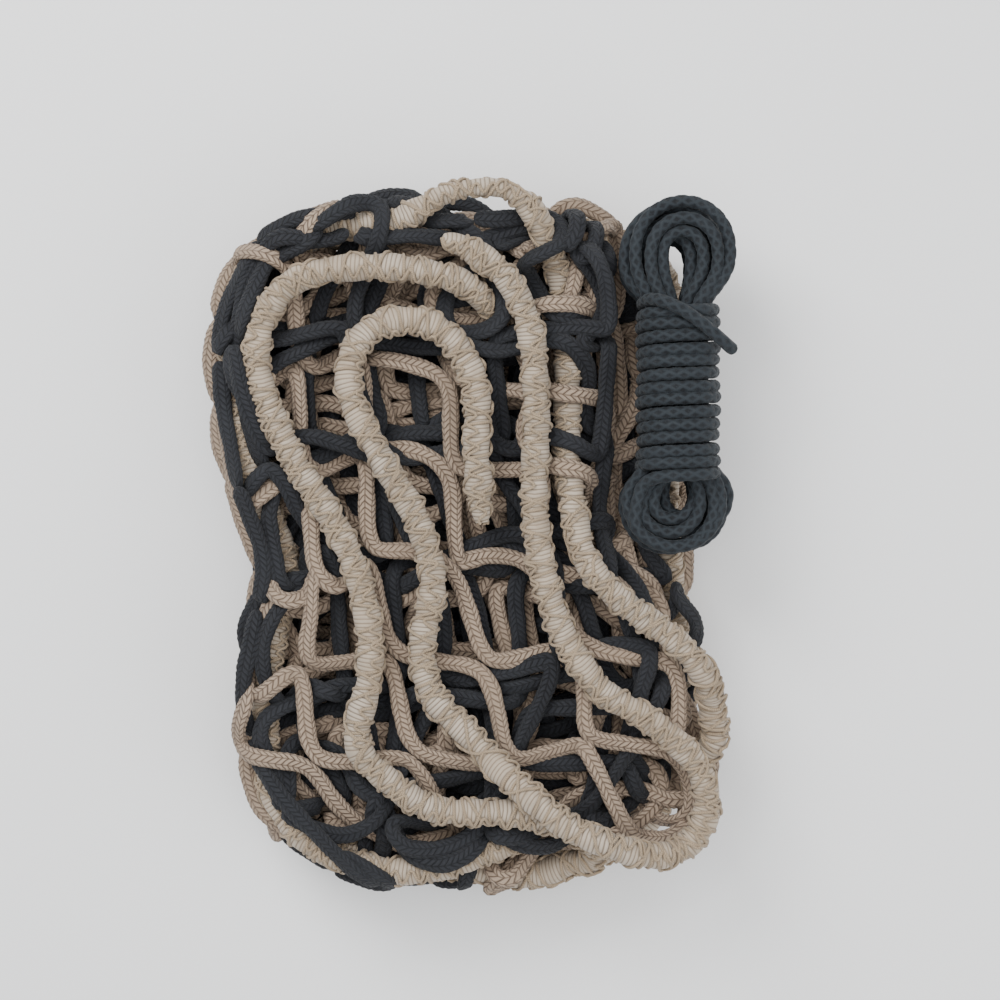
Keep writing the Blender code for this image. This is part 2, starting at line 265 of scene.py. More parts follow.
def add_panel(cords, fold, cells, bar, parts):
    """Square netting: the nodes, and the bars along both directions as rows of particles."""
    wide, tall = cells
    su = PANEL[0] / wide
    sv = PANEL[1] / tall
    i, j = np.meshgrid(np.arange(wide + 1), np.arange(tall + 1), indexing="ij")
    nodes = cords.particles(fold.place((i * su).ravel(), (j * sv).ravel())).reshape(wide + 1, tall + 1)
    across = np.zeros((wide, tall + 1, parts + 1), int)
    along = np.zeros((wide + 1, tall, parts + 1), int)
    for bars, du, dv in ((across, 1, 0), (along, 0, 1)):
        a, b = bars.shape[:2]
        i, j = np.meshgrid(np.arange(a), np.arange(b), indexing="ij")
        bars[:, :, 0] = nodes[:a, :b]
        bars[:, :, parts] = nodes[du:du + a, dv:dv + b]
        for k in range(1, parts):
            u = (i + du * k / parts).ravel() * su
            v = (j + dv * k / parts).ravel() * sv
            bars[:, :, k] = cords.particles(fold.place(u, v)).reshape(a, b)
        cords.join(bars.reshape(-1, parts + 1), bar / parts, CORD_RADIUS)
    return nodes, across, along


def curve_through(points, parts):
    """The Catmull-Rom curve through the points, with as many parts between each two of them."""
    p = np.asarray(points, float)
    p = np.vstack([2 * p[0] - p[1], p, 2 * p[-1] - p[-2]])
    u = np.linspace(0, 1, parts, endpoint=False)[None, :, None]
    a, b, c, d = p[:-3, None], p[1:-2, None], p[2:-1, None], p[3:, None]
    square = (2 * a - 5 * b + 4 * c - d) * u**2
    cube = (3 * b - a - 3 * c + d) * u**3
    fine = 0.5 * (2 * b + (c - a) * u + square + cube)
    return np.vstack([fine.reshape(-1, 3), p[-2:-1]])


def smooth_route(points, step):
    """Points about step apart along the smooth curve through the route's points."""
    return even_steps(curve_through(points, 24), step)


def distance_along(points):
    return np.r_[0, np.cumsum(np.linalg.norm(np.diff(points, axis=0), axis=1))]


def at_distances(goal, run, points):
    """Places at the distances goal along a line whose points lie at the distances run."""
    return np.stack([np.interp(goal, run, points[:, k]) for k in range(3)], -1)


def even_steps(points, step):
    run = distance_along(points)
    goal = np.linspace(0, run[-1], max(2, round(run[-1] / step)) + 1)
    return at_distances(goal, run, points)


def blur(values, times):
    """Smooths values along a line, keeping its ends."""
    for _ in range(times):
        inner = (values[:-2] + 2 * values[1:-1] + values[2:]) / 4
        values = np.concatenate([values[:1], inner, values[-1:]])
    return values


def near_pairs(middles, reach):
    """Pairs of points closer than reach, found by sorting them into cells."""
    cell = np.floor(middles / reach).astype(np.int64)
    cell -= cell.min(0) - 1
    size = cell.max(0) + 2
    key = (cell[:, 0] * size[1] + cell[:, 1]) * size[2] + cell[:, 2]
    order = np.argsort(key, kind="stable")
    ranked = key[order]
    pairs = []
    for dx, dy, dz in itertools.product((-1, 0, 1), repeat=3):
        step = (dx * size[1] + dy) * size[2] + dz
        if step < 0:
            continue
        low = np.searchsorted(ranked, key + step, "left")
        many = np.searchsorted(ranked, key + step, "right") - low
        a = np.repeat(np.arange(len(key)), many)
        inside = np.arange(len(a)) - np.repeat(np.cumsum(many) - many, many)
        b = order[np.repeat(low, many) + inside]
        apart = middles[a] - middles[b]
        keep = (apart * apart).sum(1) < reach * reach
        if step == 0:
            keep &= a < b
        pairs.append(np.stack([a[keep], b[keep]], 1))
    return np.concatenate(pairs)


def closest(p1, q1, p2, q2):
    """Shares along two segments where they are closest, for many pairs at once."""
    d1 = q1 - p1
    d2 = q2 - p2
    r = p1 - p2
    a = (d1 * d1).sum(1) + 1e-12
    e = (d2 * d2).sum(1) + 1e-12
    f = (d2 * r).sum(1)
    c = (d1 * r).sum(1)
    b = (d1 * d2).sum(1)
    spread = a * e - b * b
    s = np.where(spread > 1e-14, np.clip((b * f - c * e) / np.maximum(spread, 1e-14), 0, 1), 0.5)
    t = np.clip((b * s + f) / e, 0, 1)
    return np.clip((b * t - c) / a, 0, 1), t


def cell_of(value):
    """The ceiling map's row or column for a place."""
    return np.clip(((value + CELL * CELLS / 2) / CELL).astype(int), 0, CELLS - 1)


def scatter(ids, vectors, count):
    return np.stack([np.bincount(ids, vectors[:, k], count) for k in range(3)], 1)


class Pile:
    """The cords while they settle: fixed lengths, thickness, some stiffness, the floor and the outline."""

    def __init__(self, cords, loose, ceiling):
        self.ceiling = ceiling
        self.place = np.concatenate(cords.places)
        self.seg = np.concatenate(cords.segments)
        self.length = np.concatenate(cords.lengths)
        self.radius = np.concatenate(cords.radii)
        self.cord = np.concatenate(cords.cords)
        self.bend = np.concatenate(cords.bends)
        self.loose = loose
        n = len(self.place)
        self.size = np.zeros(n)
        self.reach = np.zeros(n)
        for side in (0, 1):
            np.maximum.at(self.size, self.seg[:, side], self.radius)
            np.maximum.at(self.reach, self.seg[:, side], self.length)
        self.straight = 1.90 * self.reach[self.bend[:, 0]]
        self.joined = np.maximum(np.bincount(self.seg.ravel(), minlength=n), 1)
        self.bent = np.maximum(np.bincount(self.bend.ravel(), minlength=n), 1)

    def find_pairs(self):
        a, b = self.seg.T
        pairs = near_pairs((self.place[a] + self.place[b]) / 2, PAIR_REACH)
        one = self.seg[pairs[:, 0]]
        two = self.seg[pairs[:, 1]]
        shared = (one[:, :1] == two).any(1) | (one[:, 1:] == two).any(1)
        same = self.cord[pairs[:, 0]] == self.cord[pairs[:, 1]]
        fixed = (self.loose[one].sum(1) + self.loose[two].sum(1)) == 0
        self.pairs = pairs[~(shared | same | fixed)]

    def keep_lengths(self):
        x = self.place
        a, b = self.seg.T
        weight = np.maximum(self.loose[a] + self.loose[b], 1e-9)
        apart = x[b] - x[a]
        now = np.sqrt((apart * apart).sum(1)) + 1e-9
        push = apart * ((now - self.length) / now / weight)[:, None]
        move = scatter(a, push * self.loose[a][:, None], len(x))
        move -= scatter(b, push * self.loose[b][:, None], len(x))
        x += move * (1.2 / self.joined)[:, None]

    def keep_straight(self):
        x = self.place
        a, b = self.bend.T
        apart = x[b] - x[a]
        now = np.sqrt((apart * apart).sum(1)) + 1e-9
        push = apart * (np.maximum(self.straight - now, 0) * 0.45 / now)[:, None]
        move = scatter(b, push, len(x)) - scatter(a, push, len(x))
        x += move * (self.loose > 0)[:, None] / self.bent[:, None]

    def push_apart(self, grown):
        x = self.place
        one = self.seg[self.pairs[:, 0]]
        two = self.seg[self.pairs[:, 1]]
        s, t = closest(x[one[:, 0]], x[one[:, 1]], x[two[:, 0]], x[two[:, 1]])
        at_one = x[one[:, 0]] * (1 - s)[:, None] + x[one[:, 1]] * s[:, None]
        at_two = x[two[:, 0]] * (1 - t)[:, None] + x[two[:, 1]] * t[:, None]
        apart = at_one - at_two
        now = np.sqrt((apart * apart).sum(1)) + 1e-9
        need = (self.radius[self.pairs[:, 0]] + self.radius[self.pairs[:, 1]]) * grown
        hit = now < need
        one, two, s, t = one[hit], two[hit], s[hit], t[hit]
        way = apart[hit] / now[hit][:, None]
        share_one = self.loose[one].mean(1)
        share_two = self.loose[two].mean(1)
        both = np.maximum(share_one + share_two, 1e-9)
        gap = (need - now)[hit] / both
        push_one = way * (gap * share_one)[:, None]
        push_two = -way * (gap * share_two)[:, None]
        ids = np.concatenate([one[:, 0], one[:, 1], two[:, 0], two[:, 1]])
        weight = np.concatenate([1 - s, s, 1 - t, t])
        push = np.concatenate([push_one, push_one, push_two, push_two]) * weight[:, None]
        total = np.maximum(np.bincount(ids, weight, len(x)), 0.6)
        x += scatter(ids, push, len(x)) / total[:, None] * 1.25 * (self.loose > 0)[:, None]

    def keep_inside(self):
        x = self.place
        free = self.loose > 0
        x[:, 2] = np.maximum(x[:, 2], self.size)
        slack = np.where(x[:, 2] < BULGE_TOP, BULGE, 0.0)
        left = np.interp(x[:, 1], EDGE_Y, EDGE_LEFT) + self.size - slack
        right = np.interp(x[:, 1], EDGE_Y, EDGE_RIGHT) - self.size + slack
        beside = (x[:, 2] > HANK_FLOOR - 0.003) & (x[:, 1] > HANK_Y)
        right = np.where(beside, np.minimum(right, HANK_SIDE - self.size), right)
        goal = np.clip(x[:, 0], left, right)
        x[:, 0] += np.where(free, (goal - x[:, 0]) * 0.5, 0)
        x[:, 1] = np.where(free, np.clip(x[:, 1], FRONT_END - slack, HEAD_END + slack), x[:, 1])
        roof = self.ceiling[cell_of(x[:, 0]), cell_of(x[:, 1])]
        x[:, 2] = np.where(free, np.minimum(x[:, 2], roof - self.size), x[:, 2])
        below = free & (x[:, 0] > HANK_SIDE) & (x[:, 1] > HANK_Y)
        x[:, 2] = np.where(below, np.minimum(x[:, 2], HANK_FLOOR - self.size), x[:, 2])

    def settle(self, steps, fall, draws, grown=None):
        """draws: lists of particle numbers, the places they are drawn to, and how strongly in x, y and z."""
        for step in range(steps):
            ending = step > 0.85 * steps
            self.place[:, 2] -= 0 if ending else fall * (self.loose > 0)
            for ids, goal, strength in draws:
                self.place[ids] += (goal - self.place[ids]) * np.asarray(strength)
            if step % 6 == 0:
                self.find_pairs()
            for _ in range(4):
                self.keep_lengths()
            self.keep_straight()
            self.push_apart(grown or min(1.0, 0.3 + step / (0.35 * steps)))
            self.keep_inside()
        return self.place


# Heights above which a stretch of rope lies on the bundle
TOP_STRETCH = 0.066
OVER_NET = 0.068
ROOF = 0.0860          # no net cord lies higher
UNDER_ROPE = 0.0058    # how far below a rope's centre the net's roof is


def draws_to_ropes(place, nodes, ropes):
    """Edge loops of the net that are lashed to the ropes: the nearest node at stops along each top one."""
    ids, goals = [], []
    taken = set()
    for rope in ropes:
        for stop in rope[::5]:
            if stop[2] < TOP_STRETCH:
                continue
            apart = place[nodes] - stop
            flat = np.hypot(apart[:, 0], apart[:, 1])
            gap = flat + 0.5 * np.abs(apart[:, 2] + 0.006)
            for k in np.argsort(gap)[:6]:
                if nodes[k] in taken or gap[k] > 0.030:
                    continue
                taken.add(nodes[k])
                way = apart[k] * (1, 1, 0)
                way = way / (np.linalg.norm(way) + 1e-9)
                ids.append(nodes[k])
                goals.append(stop + way * 0.0075 - (0, 0, 0.003))
                break
    return np.array(ids), np.array(goals)


def ceiling_under(ropes):
    """Height of the underside of the ropes that lie on top, over a grid of cells."""
    ceiling = np.full((CELLS, CELLS), ROOF)
    for rope in ropes:
        for x, y, z in rope[rope[:, 2] >= OVER_NET]:
            i, j = cell_of(np.array((x, y)))
            near = ceiling[i - 1:i + 2, j - 1:j + 2]
            np.minimum(near, z - UNDER_ROPE, out=near)
    return ceiling


# Rows of the large squares' junctions that follow the bundle's edge: columns, rows and the line they follow
LARGE_EDGES = [
    ([15] * 6, range(12, 18), [
        (-0.085, -0.148, 0.062), (-0.107, -0.115, 0.0665), (-0.109, -0.060, 0.0675), (-0.102, -0.012, 0.0675),
        (-0.117, 0.050, 0.0675), (-0.123, 0.100, 0.0675), (-0.108, 0.142, 0.0675)]),
    ([8] * 6, range(12, 18), [
        (-0.096, -0.134, 0.064), (-0.101, -0.100, 0.068), (-0.102, -0.055, 0.069), (-0.094, -0.012, 0.069),
        (-0.107, 0.045, 0.069), (-0.114, 0.090, 0.069), (-0.110, 0.130, 0.069)]),
    (range(12, 16), [17] * 4, [
        (0.055, 0.146, 0.073), (0.010, 0.149, 0.073), (-0.040, 0.158, 0.073), (-0.082, 0.155, 0.069),
        (-0.108, 0.142, 0.0675)]),
    (range(8, 12), [17] * 4, [
        (-0.110, 0.130, 0.069), (-0.080, 0.146, 0.071), (-0.030, 0.146, 0.072), (0.010, 0.140, 0.072),
        (0.052, 0.136, 0.072)]),
    (range(12, 16), [12] * 4, [
        (0.062, -0.150, 0.062), (0.020, -0.156, 0.0700), (-0.030, -0.164, 0.0695), (-0.085, -0.150, 0.066)]),
    (range(8, 12), [12] * 4, [
        (-0.096, -0.134, 0.064), (-0.060, -0.150, 0.0690), (-0.010, -0.153, 0.0705), (0.050, -0.149, 0.064)]),
]
# Where single junctions of the uppermost cords lie
LARGE_NODES = [
    (-0.124, 0.112, 0.060), (0.102, -0.030, 0.056), (0.112, -0.060, 0.054), (0.020, 0.128, 0.070),
    (0.040, 0.122, 0.072), (-0.045, 0.112, 0.066), (-0.082, 0.100, 0.066), (0.048, 0.104, 0.071),
    (-0.060, -0.110, 0.066), (0.000, -0.112, 0.064), (0.020, -0.080, 0.066),
]
SMALL_NODES = [
    (0.0446, -0.0917, 0.074), (0.0749, -0.1190, 0.074), (0.028, -0.119, 0.070), (0.066, -0.075, 0.070),
    (0.098, -0.104, 0.070), (-0.075, -0.088, 0.070), (-0.098, -0.082, 0.070), (-0.086, -0.115, 0.070),
    (-0.104, -0.116, 0.068), (-0.012, -0.100, 0.070), (-0.030, -0.146, 0.066), (0.012, -0.150, 0.066),
    (-0.117, 0.112, 0.072), (-0.113, 0.074, 0.072), (-0.080, 0.143, 0.072), (0.024, 0.134, 0.074),
    (0.046, 0.114, 0.075), (-0.060, 0.098, 0.066), (-0.030, 0.100, 0.066), (-0.104, -0.050, 0.070),
]
# Hairpins of the large squares' cord that stand out at the head: tip and foot
FINGERS = [
    ((0.0475, 0.1615), (0.0480, 0.1300)),
    ((0.0590, 0.1600), (0.0590, 0.1280)),
    ((0.0672, 0.1540), (0.0665, 0.1220)),
]
# Folds of the lower runs that bulge out between the side ropes: panel, column, rows, side, two heights
SIDE_FOLDS = [
    ("large", 15, range(0, 6), -1, (0.0165, 0.0050)),
    ("large", 11, range(0, 6), 1, (0.0060, 0.0175)),
    ("large", 8, range(0, 6), -1, (0.0060, 0.0190)),
    ("large", 4, range(6, 12), 1, (0.0330, 0.0170)),
    ("large", 15, range(6, 12), -1, (0.0500, 0.0340)),
    ("large", 0, range(0, 6), -1, (0.0180, 0.0330)),
    ("large", 8, range(6, 12), -1, (0.0345, 0.0500)),
    ("small", 5, range(0, 7), 1, (0.0180, 0.0330)),
    ("small", 15, range(7, 14), 1, (0.0330, 0.0180)),
    ("small", 0, range(0, 7), -1, (0.0330, 0.0165)),
]
# And out of the two ends: panel, columns, row, end, two heights
END_FOLDS = [
    ("large", range(12, 16), 0, -1, (0.0165, 0.0040)),
    ("large", range(1, 4), 0, -1, (0.0175, 0.0330)),
    ("large", range(8, 11), 6, 1, (0.0335, 0.0180)),
    ("large", range(12, 15), 6, 1, (0.0180, 0.0340)),
    ("large", range(4, 7), 6, 1, (0.0165, 0.0050)),
    ("small", range(6, 10), 0, -1, (0.0340, 0.0180)),
    ("small", range(16, 20), 7, 1, (0.0345, 0.0490)),
    ("small", range(11, 14), 7, 1, (0.0335, 0.0500)),
    ("small", range(11, 15), 15, -1, (0.0340, 0.0500)),
    ("large", range(5, 8), 11, -1, (0.0500, 0.0340)),
]
FOLD_FRONT, FOLD_HEAD = -0.1735, 0.1675    # how far these reach at the two ends


def side_draws(place):
    """Particle numbers and places for the folds that bulge out of the sides and the ends."""
    ids, goals = [], []
    panels = {"small": small, "large": large}
    for name, column, rows, side, heights in SIDE_FOLDS:
        for k, row in enumerate(rows):
            number = panels[name][0][column, row]
            y = place[number, 1]
            edge = np.interp(y, EDGE_Y, EDGE_RIGHT if side > 0 else EDGE_LEFT)
            ids.append(number)
            goals.append((edge + side * 0.0020, y, heights[k % 2]))
    for name, columns, row, side, heights in END_FOLDS:
        for k, column in enumerate(columns):
            number = panels[name][0][column, row]
            x = np.clip(place[number, 0], -0.085, 0.085)
            y = (FOLD_HEAD if side > 0 else FOLD_FRONT) - side * 0.6 * max(0.0, abs(x) - 0.055)
            ids.append(number)
            goals.append((x, y, heights[k % 2]))
    return np.array(ids), np.array(goals)


def nearest_free(place, numbers, goal, taken, reach):
    gap = np.linalg.norm((place[numbers] - goal) * (1, 1, 0.6), axis=1)
    for k in np.argsort(gap)[:12]:
        if numbers[k] not in taken and gap[k] < reach:
            taken.add(numbers[k])
            return numbers[k]
    return None


def draws_to_places(place):
    """Particle numbers and places for the cords whose lie is given above."""
    ids, goals = [], []
    taken = set()
    for columns, rows, line in LARGE_EDGES:
        numbers = large[0][list(columns), list(rows)]
        line = np.array(line)
        run = distance_along(line)
        for number, share in zip(numbers, np.linspace(0, run[-1], len(numbers))):
            if number not in taken:
                taken.add(number)
                ids.append(number)
                goals.append(at_distances(share, run, line))
        # the bars between them follow the same line
        for m in range(len(numbers) - 1):
            if columns[m] == columns[m + 1]:
                bar = large[2][columns[m], rows[m]]
            else:
                bar = large[1][columns[m], rows[m]]
            for k in range(1, LARGE_PARTS):
                share = (m + k / LARGE_PARTS) / (len(numbers) - 1) * run[-1]
                ids.append(bar[k])
                goals.append(at_distances(share, run, line))
    for panel, wanted in ((large, LARGE_NODES), (small, SMALL_NODES)):
        nodes = panel[0].ravel()
        for goal in wanted:
            found = nearest_free(place, nodes, goal, taken, 0.050)
            if found is not None:
                ids.append(found)
                goals.append(goal)
    bars = np.concatenate([group.reshape(-1, LARGE_PARTS + 1) for group in large[1:]])
    middles = bars[:, LARGE_PARTS // 2]
    for tip, foot in FINGERS:
        found = nearest_free(place, middles, (*tip, 0.058), taken, 0.080)
        if found is None:
            continue
        bar = bars[np.flatnonzero(middles == found)[0]]
        for share, number in zip((0, 0.33, 0.67, 1, 0.67, 0.33, 0), bar):
            high = 0.060 if number in bar[:3] else 0.066
            ids.append(number)
            x = foot[0] + (tip[0] - foot[0]) * share
            y = foot[1] + (tip[1] - foot[1]) * share
            goals.append((x, y, high - 0.004 * share))
    return np.array(ids), np.array(goals)


cords = Cords()
small = add_panel(cords, Fold(SMALL_LEVELS, -1.6, -0.12), SMALL_CELLS, SMALL_BAR, SMALL_PARTS)
large = add_panel(cords, Fold(LARGE_LEVELS, 1.6, 0.06), LARGE_CELLS, LARGE_BAR, LARGE_PARTS)


def sagging(line):
    """The ropes along the sides sag and bulge together a little instead of lying level."""
    along = np.arctan2(line[:, 1], line[:, 0])
    side = 1 - ease(0.062, 0.072, line[:, 2])
    high = np.clip(line[:, 2] / LANE_4, 0, 1)
    out = unit(line * (1, 1, 0))
    line = line.copy()
    line[:, 2] += side * high * (0.0030 * np.sin(3 * along + 0.6) + 0.0022 * np.sin(7 * along + 1.0) - 0.0010)
    at_head = ease(0.135, 0.150, line[:, 1])
    line += out * (side * (0.0022 * np.sin(5 * along + 19 * high) - 0.0012 - 0.0045 * at_head))[:, None]
    return line


rope_lines = {}
for name, route in ROUTES.items():
    even = even_steps(smooth_route(route, 0.004), 0.004)
    rope_lines[name] = sagging(smooth_route(blur(even, 6), SEAM_STEP))
rope_ids = []
for line in rope_lines.values():
    ids = cords.particles(line)
    rope_ids.append(ids)
    cords.join(ids[None, :], SEAM_STEP, SEAM_RADIUS)
loose = np.ones(cords.count)
loose[np.concatenate(rope_ids)] = 0.0
pile = Pile(cords, loose, ceiling_under(rope_lines.values()))
steps = 60
pile.settle(steps, 0.00012, [])
edge_nodes = np.concatenate([small[0].ravel(), large[0].ravel()])
lashed, lashed_goals = draws_to_ropes(pile.place, edge_nodes, list(rope_lines.values()))
placed, placed_goals = draws_to_places(pile.place)
keep = ~np.isin(lashed, placed)
bulging, bulging_goals = side_draws(pile.place)
draws = [
    (bulging, bulging_goals, (0.15, 0.03, 0.15)),
    (lashed[keep], lashed_goals[keep], (0.15, 0.15, 0.10)),
    (placed, placed_goals, (0.12, 0.12, 0.08)),
]
pile.settle(2 * steps, 0.00008, draws)
draws = [
    (bulging, bulging_goals, (0.02, 0.0, 0.02)),
    (placed, placed_goals, (0.01, 0.01, 0.01)),
]
place = pile.settle(steps, 0.0, draws, grown=1.0)


# ------------------------------------------------------------------ skins
CORD_PITCH = 0.0030    # one stitch of the braided net cord
CORD_SLANT = 1.1       # how far a stitch leans, in stitches
RING = 14              # corners of a cord's ring
JOINT_SHIFT = 0.0024   # how far two cords stand off the middle of their joint
END_TAPER = 0.0045     # a cord narrows over this length at its ends
FINE = 10              # parts between two particles of a cord's smooth line
# Distance between a cord's rings, where it is seen from above, from the side and not at all
STEP_SEEN = 0.00113
STEP_SIDE = 0.0016
STEP_HIDDEN = 0.0080


def make_mesh(name, parts):
    """One object from parts: vertices, faces with the same number of corners, and uv for each vertex."""
    mesh = bpy.data.meshes.new(name)
    total = sum(len(v) for v, f, uv in parts)
    loops = sum(f.size for v, f, uv in parts)
    count = sum(len(f) for v, f, uv in parts)
    mesh.vertices.add(total)
    mesh.loops.add(loops)
    mesh.polygons.add(count)
    mesh.vertices.foreach_set("co", np.concatenate([v for v, f, uv in parts]).ravel())
    corner, start, size, uvs, base = [], [], [], [], 0
    at = 0
    for v, f, uv in parts:
        corner.append((f + base).ravel())
        start.append(at + np.arange(len(f)) * f.shape[1])
        size.append(np.full(len(f), f.shape[1]))
        uvs.append(uv[f.ravel()])
        base += len(v)
        at += f.size
    mesh.loops.foreach_set("vertex_index", np.concatenate(corner))
    mesh.polygons.foreach_set("loop_start", np.concatenate(start))
    mesh.polygons.foreach_set("loop_total", np.concatenate(size))
    mesh.polygons.foreach_set("use_smooth", np.full(count, True))
    layer = mesh.uv_layers.new(name="along")
    layer.data.foreach_set("uv", np.concatenate(uvs).ravel())
    mesh.update(calc_edges=True)
    mesh.validate()
    obj = bpy.data.objects.new(name, mesh)
    bpy.context.scene.collection.objects.link(obj)
    return obj


def sweep(rings, run):
    """Parts for make_mesh from rings of vertices (rings, corners, 3); run is the distance along."""
    n, k = rings.shape[:2]
    i = np.arange(n - 1)[:, None] * k
    a = np.arange(k)[None, :]
    b = (a + 1) % k
    quads = np.stack([i + a, i + b, i + k + b, i + k + a], -1).reshape(-1, 4)
    around = np.minimum(np.arange(k), k - np.arange(k)) * 2 / k
    uv = np.stack([np.repeat(run, k), np.tile(around, n)], 1)
    parts = [(rings.reshape(-1, 3), quads, uv)]
    # a fan of triangles closes each end
    ends = np.concatenate([rings[0].mean(0)[None], rings[0], rings[-1].mean(0)[None], rings[-1]])
    j = np.arange(k)
    first = np.stack([np.zeros(k, int), 1 + (j + 1) % k, 1 + j], 1)
    last = np.stack([np.full(k, k + 1), k + 2 + j, k + 2 + (j + 1) % k], 1)
    uv = np.zeros((2 * k + 2, 2))
    uv[:k + 1, 0] = run[0]
    uv[k + 1:, 0] = run[-1]
    uv[:, 1] = 0.3
    parts.append((ends, np.concatenate([first, last]), uv))
    return parts


def tube_rings(line, above, side, angle, radius):
    """Rings round a line, their corners at the given angles and distances from it."""
    up = above[:, None, :] * (np.cos(angle) * radius)[..., None]
    across = side[:, None, :] * (np.sin(angle) * radius)[..., None]
    return line[:, None, :] + up + across


def carried_frames(line):
    """Up and side across a line, turning as little as they can along it."""
    tangent = unit(np.gradient(line, axis=0))
    above = np.zeros_like(line)
    start = np.array([0.0, 0.0, 1.0]) if abs(tangent[0, 2]) < 0.9 else np.array([1.0, 0.0, 0.0])
    now = unit(start - start.dot(tangent[0]) * tangent[0])
    above[0] = now
    for i in range(1, len(line)):
        now = now - now.dot(tangent[i]) * tangent[i]
        now = now / (np.linalg.norm(now) + 1e-12)
        above[i] = now
    return above, np.cross(tangent, above)


def seen(points, cover, ways, cell, slack):
    """Which points can be seen along any of the ways, past the points of cover."""
    result = np.zeros(len(points), bool)
    for way in ways:
        way = unit(np.array(way, float))
        side = unit(np.cross(way, (0.0, 1.0, 0.2)))
        other = np.cross(way, side)
        flat = np.stack([cover @ side, cover @ other], 1)
        shifts = [(0, 0), (0.0025, 0), (-0.0025, 0), (0, 0.0025), (0, -0.0025)]
        grid = np.floor(np.concatenate([flat + s for s in shifts]) / cell).astype(int)
        mine = np.floor(np.stack([points @ side, points @ other], 1) / cell).astype(int)
        low = np.minimum(grid.min(0), mine.min(0))
        wide = max(grid[:, 1].max(), mine[:, 1].max()) - low[1] + 1
        key = (grid[:, 0] - low[0]) * wide + grid[:, 1] - low[1]
        own = (mine[:, 0] - low[0]) * wide + mine[:, 1] - low[1]
        front = np.full(max(key.max(), own.max()) + 1, -9.0)
        np.maximum.at(front, key, np.tile(cover @ way, len(shifts)))
        result |= points @ way > front[own] - slack
    return result


def dense(ends):
    """Points every 2 mm or so along segments given by their two ends."""
    shares = np.linspace(0, 1, 5, endpoint=False)
    return np.concatenate([ends[:, 0] * (1 - s) + ends[:, 1] * s for s in shares])


FROM_ABOVE = [(0, 0, 1), (0.25, 0, 1), (-0.25, 0, 1), (0, 0.25, 1), (0, -0.25, 1)]
COMPASS = np.arange(0, 2 * math.pi, math.pi / 4)
FROM_ROUND = [(math.cos(a), math.sin(a), height) for height in (0.3, 0.9) for a in COMPASS]


def staircases(nodes, across, along):
    """Each cord of a knotless net runs in steps: one bar across, one bar along, and so on.

    Yields rows of particle numbers, and for each whether it is a junction."""
    wide, tall = across.shape[0], along.shape[1]
    for d in range(-tall, wide):
        i, j = (d, 0) if d >= 0 else (0, -d - 1)
        turn = d >= 0
        row, mark = [nodes[i, j]], [True]
        while True:
            if turn:
                if i >= wide:
                    break
                bar = across[i, j]
                i += 1
            else:
                if j >= tall:
                    break
                bar = along[i, j]
                j += 1
            row.extend(bar[1:])
            mark.extend([False] * (len(bar) - 2) + [True])
            turn = not turn
        yield np.array(row), np.array(mark)


def cord_line(row, mark, place):
    """The cord's line: at each junction it keeps to its own side of the joint."""
    line = place[row].copy()
    line[[0, -1]] -= (0, 0, 0.0012)
    for k in np.flatnonzero(mark):
        if 0 < k < len(row) - 1:
            legs = unit(line[k - 1] - line[k]) + unit(line[k + 1] - line[k])
            size = np.linalg.norm(legs)
            if size > 1e-6:
                line[k] = line[k] + legs / size * JOINT_SHIFT * min(1.0, size)
    return line


def stitched_cord(line, run, roll):
    """Rings of a flat braided cord with its rows of V stitches."""
    k = RING
    up = np.tile((0.0, 0.0, 1.0), (len(line), 1))
    out = line - (0, 0, 0.03)
    out[:, 2] = 0
    up = up + unit(out) * (0.25 + 0.5 * ease(0.075, 0.12, np.abs(line[:, :1]))) + roll
    tangent = unit(np.gradient(line, axis=0))
    above = unit(up - (up * tangent).sum(1, keepdims=True) * tangent)
    for i in range(1, len(above)):
        if (above[i] * above[i - 1]).sum() < 0:
            above[i] = -above[i]
    above = unit(blur(above, 4))
    above = unit(above - (above * tangent).sum(1, keepdims=True) * tangent)
    side = np.cross(tangent, above)
    angle = (np.arange(k) + 0.5) / k * 2 * math.pi
    c, s = np.cos(angle)[None, :], np.sin(angle)[None, :]
    x = np.sign(c) * np.abs(c) ** 0.85 * CORD_HALF_WIDE
    y = np.sign(s) * np.abs(s) ** 0.80 * CORD_HALF_THICK
    across = np.minimum(np.arange(k), k - np.arange(k)) * 2 / k
    lean = np.abs((2 * across) % 1 - 0.5)[None, :] * 2
    stitch = run[:, None] / CORD_PITCH - CORD_SLANT * lean
    lobe = np.abs(np.sin(math.pi * stitch)) ** 0.8
    uneven = 1 + 0.05 * np.sin(run[:, None] / 0.0061 + 3 * c) + 0.04 * np.sin(run[:, None] / 0.0027 - 2 * s)
    groove = np.exp(-((c / 0.25) ** 2))
    x = x * (0.90 + 0.13 * lobe) * uneven
    y = y * (0.84 + 0.24 * lobe) * (1 - 0.12 * groove) * uneven
    rings = line[:, None, :] + side[:, None, :] * x[..., None] + above[:, None, :] * y[..., None]
    rings[..., 2] = np.maximum(rings[..., 2], 0.0001)   # flat where it rests
    return rings


